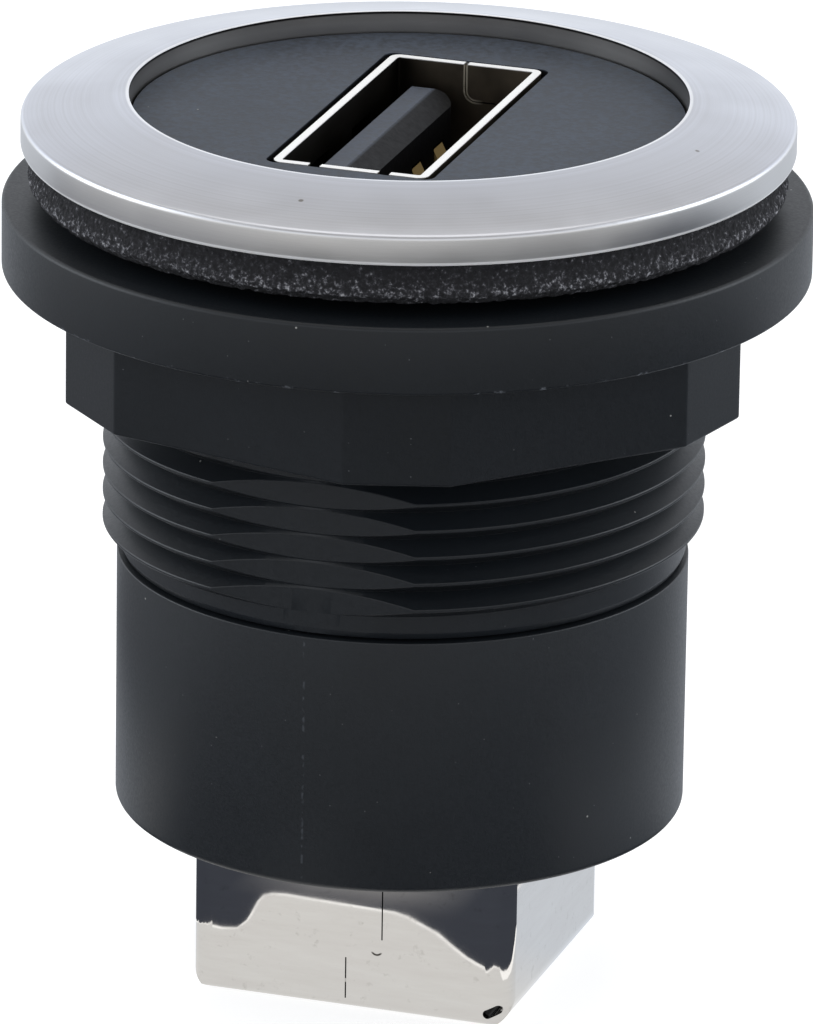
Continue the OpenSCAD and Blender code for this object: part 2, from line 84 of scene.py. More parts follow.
def rounded(corners, radii, steps=6, closed=True):
    """Outline of straight lines whose corners are arcs.

    Each corner is cut back along both its lines by radius / tan(half the corner's angle), and the
    arc between the two cuts turns evenly about the centre that lies on the corner's bisector.
    """
    corners = np.asarray(corners, float)
    out = []
    for k, (p, r) in enumerate(zip(corners, radii)):
        if r == 0 or (not closed and k in (0, len(corners) - 1)):
            out.append(p[None])
            continue
        back, on = corners[k - 1] - p, corners[(k + 1) % len(corners)] - p
        back, on = back / np.linalg.norm(back), on / np.linalg.norm(on)
        half = math.acos(np.clip(back @ on, -1, 1)) / 2
        middle = (back + on) / np.linalg.norm(back + on)
        centre = p + middle * r / math.sin(half)
        swing = (math.pi / 2 - half) * np.linspace(-1, 1, steps + 1)[:, None]
        side = (on - back) / np.linalg.norm(on - back)
        out.append(centre + r * (np.sin(swing) * side - np.cos(swing) * middle))
    return np.concatenate(out)


def finer(outline, step):
    """The same outline with points added along its lines, no two further apart than step."""
    ends = np.roll(outline, -1, axis=0)
    counts = np.maximum(1, np.ceil(np.linalg.norm(ends - outline, axis=1) / step).astype(int))
    return np.concatenate([a + (b - a) * np.linspace(0, 1, n, endpoint=False)[:, None]
                           for a, b, n in zip(outline, ends, counts)])


def turned(radius, height, azimuth):
    """Points at a radius and a height round the axis: x = r sin(azimuth), y = -r cos(azimuth)."""
    radius, height, azimuth = np.broadcast_arrays(radius, height, azimuth)
    return np.stack([radius * np.sin(azimuth), -radius * np.cos(azimuth), height], -1)


def spun(profile, azimuth):
    """A profile of (radius, height) points carried round the axis."""
    return turned(profile[:, :1], profile[:, 1:], azimuth)


def polar(outline):
    """Azimuths and radii of the points of an outline."""
    return np.arctan2(outline[:, 0], -outline[:, 1]), np.linalg.norm(outline, axis=1)


def s_curve(share):
    """Even rise from 0 to 1: 3 s^2 - 2 s^3, with s held between 0 and 1."""
    share = np.clip(share, 0, 1)
    return share * share * (3 - 2 * share)


def piece(name, points, material, body, replaced, crease=32, closed=True):
    """Mesh of a grid of points, closed along the profile and round the axis.

    Where closed is false, the first and the last column lie on each other and are merged where
    their points meet.
    """
    rows, cols = points.shape[:2]
    row = np.arange(rows)[:, None]
    col = np.arange(cols if closed else cols - 1)[None]
    below, beside = (row + 1) % rows, (col + 1) % cols
    quads = np.stack([row * cols + col, row * cols + beside,
                      below * cols + beside, below * cols + col], -1)
    mesh = bpy.data.meshes.new(name)
    mesh.from_pydata((points.reshape(-1, 3) * MM).tolist(), [], quads.reshape(-1, 4).tolist())
    if not closed:
        work = bmesh.new()
        work.from_mesh(mesh)
        bmesh.ops.remove_doubles(work, verts=work.verts, dist=1e-7)
        work.to_mesh(mesh)
        work.free()
    mesh.validate()
    mesh.shade_smooth()
    mesh.set_sharp_from_angle(angle=math.radians(crease))
    mesh.materials.append(material)
    made = bpy.data.objects.new(name, mesh)
    bpy.context.scene.collection.objects.link(made)
    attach(made, body)
    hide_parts(replaced)


def bezel_points():
    """Turned ring: one rounded profile carried round the axis."""
    slope = (BEZEL_TOP - BEZEL_BAND) / (BEZEL_R - BEZEL_OPENING_R)
    face = lambda r: BEZEL_BAND + (BEZEL_R - r) * slope
    inner, outer = BEZEL_OPENING_R + BEZEL_WALL, BEZEL_R - BEZEL_WALL
    land = BEZEL_OPENING_R + BEZEL_LAND
    profile = rounded(
        [(BEZEL_OPENING_R, BEZEL_SKIRT_END), (inner, BEZEL_SKIRT_END),
         (inner, face(inner) - BEZEL_WALL), (outer, face(outer) - BEZEL_WALL), (outer, 0),
         (BEZEL_R - BEZEL_CHAMFER, 0), (BEZEL_R, BEZEL_CHAMFER), (BEZEL_R, BEZEL_BAND),
         (land, face(land)), (BEZEL_OPENING_R, face(land))],
        [0, 0, 0.1, 0.1, 0, 0.03, 0.06, 0.2, 0, 0.03])
    return spun(profile, np.linspace(0, 2 * np.pi, 480, endpoint=False))


def gasket_points():
    """Punched foam ring: it bulges towards its lower edge, and its outer side wanders.

    The wander is a sum of waves round the ring and up its edge with seeded phases; it fades to
    nothing towards the bore.
    """
    draw = np.random.default_rng(7)
    top, middle, bottom = -FOAM_GAP, -GASKET_T / 2, FOAM_GAP - GASKET_T
    profile = finer(rounded(
        [(GASKET_BORE_R, bottom), (GASKET_R - 0.35, bottom), (GASKET_R - 0.03, FOAM_BULGE_Z),
         (GASKET_R - 0.4, top), (GASKET_BORE_R, top)], [0, 0.2, 0.25, 0.15, 0], 8), 0.08)
    azimuth = np.linspace(0, 2 * np.pi, 1000, endpoint=False)
    radius, height = profile[:, :1], profile[:, 1:]
    wander = 0
    for waves, size in ((5, 0.02), (13, 0.02), (31, 0.025), (67, 0.025), (131, 0.02), (223, 0.02)):
        a, b = draw.uniform(0, 2 * np.pi, 2)
        wander = wander + size * np.sin(waves * azimuth + a + 2.5 * np.sin(height * 6 + b))
    outer = np.clip((radius - WANDER_FROM_R) / WANDER_OVER, 0, 1)
    inward = np.where(height < middle, 1, -1) * (np.abs(height - middle) > 0.5)
    lift = 0.7 * inward * outer * np.abs(np.roll(wander, WANDER_SHIFT, axis=1))
    return turned(radius - outer * np.abs(wander), height + lift, azimuth)


def nut_points():
    """Moulded nut: hexagon with cut corners below, round flange above, plain bore.

    The columns stand at the angles of the hexagon's rounded outline, so its edges are followed
    exactly; each row of the profile is a circle or the outline drawn in or out by a little.
    """
    facing = np.radians(NUT_ANGLE + 90 + np.arange(12) * 30)
    dist = np.where(np.arange(12) % 2 == 0, HEX_CORNER_FACE, HEX_FACE)
    normal = np.stack([np.sin(facing), -np.cos(facing)], -1)
    two_faces = np.stack([normal, np.roll(normal, -1, axis=0)], 1)
    two_dists = np.stack([dist, np.roll(dist, -1)], -1)[..., None]
    corner = np.linalg.solve(two_faces, two_dists)[..., 0]
    azimuth, hexagon = polar(finer(rounded(corner, [0.25] * 12), 0.2))
    low = rounded([(-NUT_END_RING, NUT_BOTTOM), (0, NUT_BOTTOM), (0, FLANGE_BOTTOM),
                   (FLANGE_LEDGE, FLANGE_BOTTOM)], [0, 0.12, 0.15, 0], 5, False)
    mouth = NUT_BORE_R + NUT_CHAMFER
    high = rounded([(LEDGE_R, FLANGE_BOTTOM), (FLANGE_R, FLANGE_BOTTOM), (FLANGE_R, NUT_TOP),
                    (mouth, NUT_TOP), (NUT_BORE_R, NUT_TOP - NUT_CHAMFER),
                    (NUT_BORE_R, NUT_BOTTOM + NUT_CHAMFER), (mouth, NUT_BOTTOM)],
                   [0, 0.12, 0.15, 0, 0, 0, 0], 7, False)
    hex_rows = turned(hexagon + low[:, :1], low[:, 1:], azimuth)
    return np.concatenate([hex_rows, spun(high, azimuth)])


def body_points():
    """Moulded sleeve with a right-hand thread and two flats.

    A ridge follows the helix: height = start + lead x azimuth / full turn. Its section is a
    trapezium with flanks of 30 degrees. Towards a flat the crest is drawn in to the flat's plane,
    radius = distance / cos(azimuth), and grows as wide as the flanks are there, so the edge of the
    flat is a row of the grid. The last ridge and the groove over it fade into the neck behind, and
    the first ones fade out below the head. On the neck a flat runs out as a shallow dip, which
    rises from the flat's plane to the neck's radius by an even S-curve of the azimuth.
    """
    edge = math.degrees(math.acos(FLAT_DIST / THREAD_R))
    front = np.linspace(-edge, edge, 101)
    beside = np.linspace(edge, 180 - edge, 93)[1:-1]
    behind = np.linspace(180 - edge, 180, 51)
    degrees = np.concatenate([-behind[::-1], -beside[::-1], front, beside, behind])
    azimuth = np.radians(degrees)
    climb = THREAD_LEAD * azimuth / (2 * np.pi)
    facing = np.abs(np.cos(azimuth))
    crest = np.minimum(THREAD_R, FLAT_DIST / np.maximum(facing, 1e-3))
    dip = s_curve(np.degrees(np.arccos(facing)) / DIP_DEGREES)
    neck = FLAT_DIST + (NECK_R - FLAT_DIST) * dip

    half = CREST_W / 2 + (THREAD_R - crest) * FLANK
    slant = CREST_BREAK * FLANK
    root, reach = np.full_like(crest, ROOT_R), np.full_like(crest, RIDGE_FOOT)
    steps = [-reach, -half - slant, CREST_BREAK - half, half - CREST_BREAK, half + slant, reach]
    radii = [root, crest - CREST_BREAK, crest, crest, crest - CREST_BREAK, root]
    ridges = np.arange(LAST_RIDGE, FIRST_RIDGE + 1.0)
    height = (ridges[:, None, None] + np.array(steps)).reshape(-1, len(degrees)) + climb
    radius = np.tile(np.array(radii), (len(ridges), 1))

    # The last ridge's lower flank ends on the neck
    radius[1] = np.maximum(crest - CREST_BREAK, neck)
    height[1] = LAST_RIDGE - half - (crest - radius[1]) * FLANK + climb
    radius[0] = neck
    height[0] = LAST_RIDGE - CREST_W / 2 - (THREAD_R - neck) * FLANK - 0.01 + climb
    last = len(radii) + 1
    radius[:last] = neck + (radius[:last] - neck) * s_curve((degrees + 180) / FADE_DEGREES)
    radius = ROOT_R + (radius - ROOT_R) * np.clip((THREAD_TOP - height) / FADE_HEIGHT, 0, 1)
    height = np.minimum(height, THREAD_TOP)

    foot = rounded([(BOARD_SEAT_R, BOARD_FRONT), (BOARD_SEAT_R, BODY_END),
                    (NECK_R - FOOT_CHAMFER, BODY_END - FOOT_DROP),
                    (NECK_R, BODY_END + FOOT_CHAMFER), (NECK_R, BODY_END + 2 * FOOT_CHAMFER)],
                   [0, 0, 0.03, 0.08, 0], 4, False)
    head = np.array([(ROOT_R, 0), (HEAD_R, 0), (HEAD_R, HEAD_H), (PLATE_SEAT_R, HEAD_H),
                     (PLATE_SEAT_R, PLATE_BOTTOM), (FRONT_BORE_R, PLATE_BOTTOM),
                     (FRONT_BORE_R, BOARD_FRONT)])
    return np.concatenate([turned(np.minimum(foot[:, :1], neck), foot[:, 1:], azimuth),
                           turned(radius, height, azimuth), spun(head, azimuth)])


def housing_points():
    """Moulded cup with a spigot and the square opening of the rear socket in its floor.

    The columns stand at the angles of the opening's rounded outline; every other row is a circle.
    """
    x, y = OPENING_X / 2, OPENING_Y / 2
    corners = [(-x, SOCKET_Y - y), (x, SOCKET_Y - y), (x, SOCKET_Y + y), (-x, SOCKET_Y + y)]
    azimuth, opening = polar(finer(rounded(corners, [OPENING_CORNER] * 4, 8), 0.15))
    inner = HOUSING_BOTTOM + HOUSING_FLOOR
    wall = rounded([(HOUSING_R - HOUSING_END_RING, HOUSING_BOTTOM), (HOUSING_R, HOUSING_BOTTOM),
                    (HOUSING_R, HOUSING_TOP), (SPIGOT_R, HOUSING_TOP), (SPIGOT_R, SPIGOT_TOP),
                    (SPIGOT_BORE_R, SPIGOT_TOP), (SPIGOT_BORE_R, inner)],
                   [0, 0.25, 0.05, 0, 0, 0, 0], 6, False)
    floor = turned(opening, np.array([[inner], [HOUSING_BOTTOM]]), azimuth)
    return np.concatenate([floor, spun(wall, azimuth)])


# Shader nodes

def srgb(code):
    """Linear colour of a six-digit sRGB code."""
    parts = np.array([int(code[k:k + 2], 16) for k in (0, 2, 4)]) / 255
    linear = np.where(parts <= 0.04045, parts / 12.92, ((parts + 0.055) / 1.055) ** 2.4)
    return (*linear.tolist(), 1.0)


def grey(level):
    """Grey of a linear level, as a colour."""
    return (level, level, level, 1)


def put(tree, kind, props=None, **wires):
    """Adds a node with its settings.

    A wire is a value or another node's output. Its key is the input's name, or i and its number.
    """
    made = tree.nodes.new(kind)
    for key, value in (props or {}).items():
        setattr(made, key, value)
    for key, value in wires.items():
        socket = made.inputs[int(key[1:]) if key[1:].isdigit() else key.replace("_", " ")]
        if isinstance(value, bpy.types.NodeSocket):
            tree.links.new(value, socket)
        else:
            socket.default_value = value
    return made


def emptied(made):
    """The emptied node tree of a new material or world."""
    made.use_nodes = True
    made.node_tree.nodes.clear()
    return made.node_tree


def new_material(name):
    """Empty material, its node tree, its Object coordinates in millimetres, and its output."""
    made = bpy.data.materials.new(name)
    tree = emptied(made)
    where = put(tree, "ShaderNodeTexCoord").outputs["Object"]
    scaled = put(tree, "ShaderNodeVectorMath", {"operation": "SCALE"}, i0=where, Scale=1 / MM)
    return made, tree, scaled.outputs[0], put(tree, "ShaderNodeOutputMaterial")


def maths(tree, operation, *values):
    """Number that a maths node gives for its values."""
    wires = {f"i{k}": value for k, value in enumerate(values)}
    return put(tree, "ShaderNodeMath", {"operation": operation}, **wires).outputs[0]


def times(tree, first, *others):
    """Product of two or more numbers."""
    for other in others:
        first = maths(tree, "MULTIPLY", first, other)
    return first


def off_place(tree, value, place):
    """How far a number is from a place: |value - place|."""
    return maths(tree, "ABSOLUTE", maths(tree, "SUBTRACT", value, place))


def vectors(tree, operation, *values):
    """Vector that a vector maths node gives, or the number that a length or distance is."""
    wires = {f"i{k}": value for k, value in enumerate(values)}
    made = put(tree, "ShaderNodeVectorMath", {"operation": operation}, **wires)
    return made.outputs["Value" if operation in ("LENGTH", "DISTANCE") else "Vector"]


def axes(tree, vector):
    """The three parts of a vector or a colour."""
    return put(tree, "ShaderNodeSeparateXYZ", i0=vector).outputs


def ramp(tree, value, *stops):
    """Colour ramp from (place, colour) stops."""
    made = put(tree, "ShaderNodeValToRGB", Fac=value)
    elements = made.color_ramp.elements
    while len(elements) < len(stops):
        elements.new(0.5)
    for element, (place, colour) in zip(elements, stops):
        element.position = place
        element.color = colour
    return made.outputs[0]


def noise(tree, where, per_mm, detail=2.0, rough=0.5):
    """Noise with about that many bumps a millimetre."""
    return put(tree, "ShaderNodeTexNoise", Vector=where, Scale=per_mm, Detail=detail,
               Roughness=rough).outputs[0]


def span(tree, value, low, high, to_low, to_high):
    """Value carried from one range to another, clamped."""
    return put(tree, "ShaderNodeMapRange", Value=value, From_Min=low, From_Max=high,
               To_Min=to_low, To_Max=to_high).outputs[0]


def mix(tree, factor, a, b, blend="MIX"):
    """Two colours mixed by a factor."""
    props = {"data_type": "RGBA", "blend_type": blend}
    return put(tree, "ShaderNodeMix", props, i0=factor, i6=a, i7=b).outputs[2]


def specks(tree, where, per_mm, size, share):
    """Mask of small round specks: the middles of some of the cells of a cell pattern."""
    cell = put(tree, "ShaderNodeTexVoronoi", Vector=where, Scale=per_mm)
    near = span(tree, cell.outputs["Distance"], size * 0.6, size, 1, 0)
    kept = span(tree, axes(tree, cell.outputs["Color"])[0], 1 - share, 1.01 - share, 0, 1)
    return times(tree, near, kept)


def bumped(tree, pattern, strength, depth, **under):
    """Normal of a skin with a pattern of bumps that deep; under may give the Normal below it."""
    return put(tree, "ShaderNodeBump", Height=pattern, Strength=strength, Distance=depth * MM,
               **under).outputs[0]


def coat(tree, out, **looks):
    """Gives a material a principled surface with those looks."""
    tree.links.new(put(tree, "ShaderNodeBsdfPrincipled", **looks).outputs[0], out.inputs[0])


def glow(tree, colour, strength):
    """Surface that gives off light of its own."""
    return put(tree, "ShaderNodeEmission", Color=colour, Strength=strength).outputs[0]


# Materials

def turned_steel():
    """Stainless bar, faced and turned, then blasted satin.

    The tool leaves fine rings round the axis, which smear the highlights across the rings and give
    the pale, slightly streaky grey; a few nicks show as darker dots. The edges of the opening and
    of the foot are painted near white as painted highlights, and a thin black line of painted shade
    lies in the bore below its edge, above a plain darker grey bore.
    """
    made, tree, where, out = new_material("satin turned stainless steel")
    x, y, height = axes(tree, where)
    radius = vectors(tree, "LENGTH", put(tree, "ShaderNodeCombineXYZ", i0=x, i1=y).outputs[0])
    ring_place = put(tree, "ShaderNodeCombineXYZ", i0=radius, i1=height).outputs[0]
    rings = noise(tree, ring_place, 9.0, 4.0, 0.7)
    colour = mix(tree, span(tree, rings, 0.3, 0.7, 0, 1), srgb("c7c8cc"), srgb("d4d6dc"))
    band = span(tree, radius, BEZEL_R - 0.05, BEZEL_R - 0.01, 0, 1)
    colour = mix(tree, band, colour, srgb("fffcf5"), "MULTIPLY")
    colour = mix(tree, specks(tree, where, 0.7, 0.08, 0.1), colour, srgb("8d8a86"))

    # Painted highlights: the foot and the edge of the opening are painted near white, and the foot
    # is made less metallic
    foot_highlight = span(tree, height, 0.1, 0.16, 1, 0)
    opening_highlight = times(
        tree, span(tree, radius, BEZEL_OPENING_R + 0.09, BEZEL_OPENING_R + 0.15, 1, 0),
        span(tree, height, BEZEL_TOP - 0.07, BEZEL_TOP - 0.04, 0, 1))
    colour = mix(tree, maths(tree, "MAXIMUM", foot_highlight, opening_highlight), colour, srgb("f6f6f6"))
    # Painted shade: a thin black band in the bore just below the opening's edge; below it the bore
    # is a plain grey, darker than the face
    in_bore = times(
        tree, span(tree, radius, BEZEL_OPENING_R + 0.01, BEZEL_OPENING_R + 0.05, 1, 0),
        span(tree, height, BEZEL_TOP - 0.07, BEZEL_TOP - 0.05, 1, 0))
    depth = ramp(tree, span(tree, height, BEZEL_TOP, BEZEL_SKIRT_END, 0, 1),
                 (0.0, srgb("141312")), (0.11, srgb("1c1a19")),
                 (0.15, srgb("8a8886")), (0.4, srgb("9b9997")))
    colour = mix(tree, in_bore, colour, depth)

    skin = bumped(tree, rings, 0.08, 0.01)
    skin = bumped(tree, noise(tree, where, 14.0), 0.08, 0.01, Normal=skin)
    around = put(tree, "ShaderNodeTangent", {"direction_type": "RADIAL", "axis": "Z"}).outputs[0]
    coat(tree, out, Base_Color=colour, Metallic=span(tree, foot_highlight, 0, 1, 1, 0.3),
         Roughness=span(tree, noise(tree, where, 0.35, 3.0), 0.3, 0.7, 0.3, 0.4),
         Anisotropic=0.4, Normal=skin, Tangent=around)
    return made


def moulded_plastic(name, code, rough, dust, gloss=0.5, grain_mm=9.0, grain=0.15,
                    face=None, parting_x=None, worn_z=None):
    """Black polyamide, moulded with a fine spark-eroded skin.

    The skin spreads reflections into a soft sheen that pales towards the edges; dust sits on it as
    sparse pale specks. Below the height of its face, where one is given, the moulding is painted
    near black and dull as painted shade. A parting line runs down the near side at parting_x as a
    row of faint, uneven dots.
    An edge at worn_z is rubbed pale in short bits.
    """
    made, tree, where, out = new_material(name)
    x, y, height = axes(tree, where)
    fine = noise(tree, where, grain_mm, 3.0, 0.6)
    clouds = span(tree, noise(tree, where, 0.25, 3.0), 0.35, 0.65, 0, 1)
    dimmer = tuple(0.85 * c for c in srgb(code)[:3]) + (1,)
    base = mix(tree, clouds, dimmer, srgb(code))
    base = mix(tree, span(tree, fine, 0.35, 0.65, 1.5 * grain, 0), base, srgb("08090a"))
    base = mix(tree, specks(tree, where, 1.1, 0.05, dust), base, srgb("8a8a86"))
    base = mix(tree, specks(tree, where, 2.3, 0.07, dust), base, srgb("4c4e50"))
    if parting_x is not None:
        line = span(tree, off_place(tree, x, parting_x), 0.01, 0.06, 0.5, 0)
        dotted = span(tree, noise(tree, where, 4.0, 1.0), 0.5, 0.6, 0, 1)
        near = span(tree, y, -1, 0, 1, 0)
        base = mix(tree, times(tree, line, dotted, near), base, srgb("4a4f55"))
    if worn_z is not None:
        rubbed = span(tree, off_place(tree, height, worn_z), 0.03, 0.09, 1, 0)
        bits = span(tree, noise(tree, where, 1.3, 5.0, 0.75), 0.56, 0.64, 0, 0.8)
        base = mix(tree, times(tree, rubbed, bits), base, srgb("5c6066"))
    shine = gloss
    # Painted shade: below the face's height the colour is painted near black and the gloss lowered
    if face is not None:
        above_painted_shade = span(tree, height, face - 0.06, face, 0, 1)
        base = mix(tree, above_painted_shade, srgb("0d0d0f"), base)
        shine = span(tree, above_painted_shade, 0, 1, 0.14, gloss)
    coat(tree, out, Base_Color=base, Specular_IOR_Level=shine,
         Roughness=span(tree, fine, 0.3, 0.7, rough - 0.05, rough + 0.06),
         Normal=bumped(tree, fine, grain, 0.02))
    return made


def foam_rubber():
    """Punched closed-cell foam rubber.

    Cut cells give a dull, rough charcoal skin peppered with pale flecks. Their share is painted by
    height as light and shade: thickest where the bulge catches the light, sparse up under the
    bezel's shade, and some on the shaded lower edge to lighten it.
    """
    made, tree, where, out = new_material("charcoal foam rubber")
    place = span(tree, axes(tree, where)[2], -GASKET_T, 0, 0, 1)
    # Painted light and shade: the share of pale flecks rises where the bulge is lit and falls away
    # under the bezel
    fleck_share_painted_by_light = ramp(tree, place, (0.0, grey(0.3)), (0.14, grey(0.3)), (0.24, grey(1.0)),
                (0.42, grey(0.7)), (0.6, grey(0.2)), (0.9, grey(0.0)))
    fleck = maths(tree, "MULTIPLY_ADD", fleck_share_painted_by_light, 0.14, noise(tree, where, 5.8, 2.5, 0.72))
    base = ramp(tree, fleck, (0.0, srgb("1c1c1d")), (0.52, srgb("212123")), (0.64, srgb("303033")),
                (0.74, srgb("68686c")), (0.84, srgb("a8a8ab")))
    cells = put(tree, "ShaderNodeTexVoronoi", Vector=where, Scale=5.0).outputs["Distance"]
    skin = bumped(tree, cells, 0.6, 0.12)
    skin = bumped(tree, noise(tree, where, 6.0, 4.0, 0.65), 0.5, 0.08, Normal=skin)
    coat(tree, out, Base_Color=base, Roughness=0.9, Specular_IOR_Level=0.25, Normal=skin)
    return made


def plated_sheet():
    """Steel sheet, blanked and folded, with bright nickel plate.

    Nearly a mirror with a warm tone; the rolled sheet shows faint streaks round the shell and a few
    dull scuffs, and the punch left one small half-moon beside the seam.
    """
    made, tree, where, out = new_material("nickel-plated steel sheet")
    x, y, height = axes(tree, where)
    streak = noise(tree, vectors(tree, "MULTIPLY", where, (0.4, 0.4, 3.0)), 1.0, 4.0, 0.6)
    scuff = noise(tree, where, 2.2, 4.0, 0.7)
    colour = mix(tree, span(tree, streak, 0.3, 0.7, 0, 1), srgb("d1cfcb"), srgb("ccc9c5"))
    colour = mix(tree, span(tree, scuff, 0.6, 0.75, 0, 0.5), colour, srgb("a8a59f"))
    side = put(tree, "ShaderNodeCombineXYZ", i0=x, i2=height).outputs[0]
    away = vectors(tree, "DISTANCE", side, (MARK_X, 0, MARK_Z + MARK_R))
    ring = span(tree, off_place(tree, away, MARK_R), 0.02, 0.05, 1, 0)
    lower = span(tree, height, MARK_Z + 0.06, MARK_Z + 0.12, 1, 0)
    near = span(tree, y, -5.4, -5.3, 1, 0)
    colour = mix(tree, times(tree, ring, lower, near), colour, srgb("3b3833"))
    coat(tree, out, Base_Color=colour, Metallic=1.0,
         Roughness=span(tree, streak, 0.3, 0.7, 0.03, 0.06))
    return made


def socket_sheet():
    """Tinned steel sheet of the front socket, sheared and folded.

    The sheared rim is painted near white and made less metallic as a painted highlight. The inner
    walls are dull and brownish, and the left wall is painted darker as shade; the two edges of the
    seam are painted pale as highlights down to the tab, and at the rim they are painted black as
    shade.
    """
    made, tree, where, out = new_material("tinned steel sheet with a painted rim highlight")
    across, along, height = axes(tree, where)
    # Painted highlight: the rim is painted near white and made less metallic
    rim = span(tree, height, PLATE_TOP - 0.04, PLATE_TOP - 0.01, 0, 1)
    side = put(tree, "ShaderNodeCombineXYZ", i0=across, i2=height).outputs[0]
    corner = vectors(tree, "SUBTRACT", (SEAM_R, 0, SEAM_BEND_Z), side)
    reach = vectors(tree, "LENGTH", vectors(tree, "MAXIMUM", corner, (0, 0, 0)))
    at_seam = span(tree, off_place(tree, reach, SEAM_R), 0.05, 0.1, 1, 0)
    far = span(tree, along, 6.2, 6.3, 0, 1)
    hooked = span(tree, across, 0.3, 0.7, 1, 0)
    beside = times(tree, far, at_seam, hooked)
    patch = noise(tree, where, 0.5, 3.0)
    wall = mix(tree, span(tree, patch, 0.35, 0.65, 0, 1), srgb("4d463d"), srgb("665d50"))
    # Painted shade: the left wall is painted darker
    wall = mix(tree, span(tree, across, -2.3, -1.0, 1, 0), wall, srgb("221f1b"))
    # Painted highlight: the seam's two edges are painted pale on the far wall, down to the tab
    wall = mix(tree, beside, wall, srgb("d8cfba"))
    # At the rim the seam's edges are painted black as shade; the rest of the rim is painted near
    # white as highlight
    painted_rim_light_and_seam_shade = mix(tree, beside, srgb("fbfaf7"), srgb("0b0a08"))
    coat(tree, out, Base_Color=mix(tree, rim, wall, painted_rim_light_and_seam_shade), Metallic=span(tree, rim, 0, 1, 1, 0.4),
         Roughness=span(tree, patch, 0.3, 0.7, 0.4, 0.5))
    return made


def gold_flash():
    """Stamped bronze springs with a thin gold flash.

    They are pale and satin, a little varied where the flash is worn; the contacts on the far half
    are painted brown as shade. Their normals are turned towards one fixed direction, so they mirror
    the light overhead as a painted glint.
    """
    made, tree, where, out = new_material("gold-flashed bronze contact")
    worn = noise(tree, where, 2.5, 3.0)
    along = axes(tree, where)[1]
    colour = mix(tree, span(tree, worn, 0.4, 0.65, 0, 1), srgb("fbf3dc"), srgb("efdcae"))
    # Painted shade: the contacts on the far half are painted brown
    colour = mix(tree, span(tree, along, -0.4, 0.4, 0, 1), colour, srgb("4f432b"))
    # Painted glint: the normal is pulled towards one fixed direction, so the strips mirror the
    # light overhead
    flat = put(tree, "ShaderNodeNewGeometry").outputs["Normal"]
    glint_normal = vectors(tree, "MULTIPLY_ADD", flat, (0.3, 0.3, 0.3), (0.18, -0.55, 0.82))
    coat(tree, out, Base_Color=colour, Metallic=1.0, Normal=vectors(tree, "NORMALIZE", glint_normal),
         Roughness=span(tree, worn, 0.3, 0.7, 0.1, 0.2))
    return made


def solder_resist():
    """Glass-fibre board under green solder resist: glossy lacquer over a faint weave."""
    made, tree, where, out = new_material("green solder resist on glass-fibre board")
    weave = put(tree, "ShaderNodeTexWave", Vector=where, Scale=1.6, Distortion=0.4).outputs["Fac"]
    coat(tree, out, Base_Color=mix(tree, weave, srgb("1c5a38"), srgb("226542")),
         Roughness=span(tree, weave, 0, 1, 0.28, 0.36))
    return made


steel = turned_steel()
nut_plastic = moulded_plastic("moulded black nut plastic", "12171c", 0.45, 0.3, 0.42,
                              worn_z=FLANGE_BOTTOM + WORN_BAND)
body_plastic = moulded_plastic("moulded black body plastic", "13181d", 0.42, 0.10)
housing_plastic = moulded_plastic("moulded black housing plastic", "161b20", 0.45, 0.25,
                                  parting_x=-0.22)
disc_plastic = moulded_plastic("matt black disc plastic", "404854", 0.55, 0.10, 0.36, 4.0, 0.4,
                               face=PLATE_TOP)
socket_plastic = moulded_plastic("moulded black socket plastic", "434b59", 0.5, 0.0, 0.4, 4.0, 0.4,
                                 face=TONGUE_TIP)
foam = foam_rubber()
plate = plated_sheet()
tinned = socket_sheet()
gold = gold_flash()
resist = solder_resist()

piece("bezel_ring_turned", bezel_points(), steel, "root", "bezel_ring")
piece("panel_gasket_foam", gasket_points(), foam, "gasket", "panel_gasket",
      crease=80)
piece("panel_nut_moulded", nut_points(), nut_plastic, "nut", "panel_nut")
piece("threaded_body_moulded", body_points(), body_plastic, "root",
      "threaded_body", crease=22, closed=False)
piece("rear_housing_moulded", housing_points(), housing_plastic, "root",
      "rear_housing")

dress = {"front_plate": disc_plastic, "circuit_board": resist,
         "front_socket_shell": tinned, "rear_socket_shell": plate,
         "front_socket_insulator": socket_plastic, "rear_socket_insulator": socket_plastic}
dress.update({f"{end}_contact_{k}": gold for end in ("front", "rear") for k in (1, 2, 3, 4)})
for name, material in dress.items():
    nodes[name].data.materials.clear()
    nodes[name].data.materials.append(material)


# Stage

def white_table():
    """White ground with the object's soft shadow on it.

    In mirrors it glows white, and a cool pale grey behind the object.
    """
    made, tree, where, out = new_material("white table")
    ways = put(tree, "ShaderNodeLightPath").outputs
    mirrored = maths(tree, "MAXIMUM", ways["Is Glossy Ray"], ways["Is Transmission Ray"])
    tone = ramp(tree, span(tree, axes(tree, where)[1], -20, 30, 0, 1),
                (0.0, srgb("fffefd")), (0.3, srgb("fafafa")), (0.45, srgb("e5ebf4")))
    lit = put(tree, "ShaderNodeBsdfDiffuse", Color=grey(0.8)).outputs[0]
    under = put(tree, "ShaderNodeMixShader", Fac=mirrored, i1=lit, i2=glow(tree, tone, 1.0))
    faint = put(tree, "ShaderNodeBsdfDiffuse", Color=grey(0.5)).outputs[0]
    seen = put(tree, "ShaderNodeAddShader", i0=faint, i1=glow(tree, grey(1.0), 0.72))
    both = put(tree, "ShaderNodeMixShader", Fac=ways["Is Camera Ray"],
               i1=under.outputs[0], i2=seen.outputs[0])
    tree.links.new(both.outputs[0], out.inputs[0])
    return made


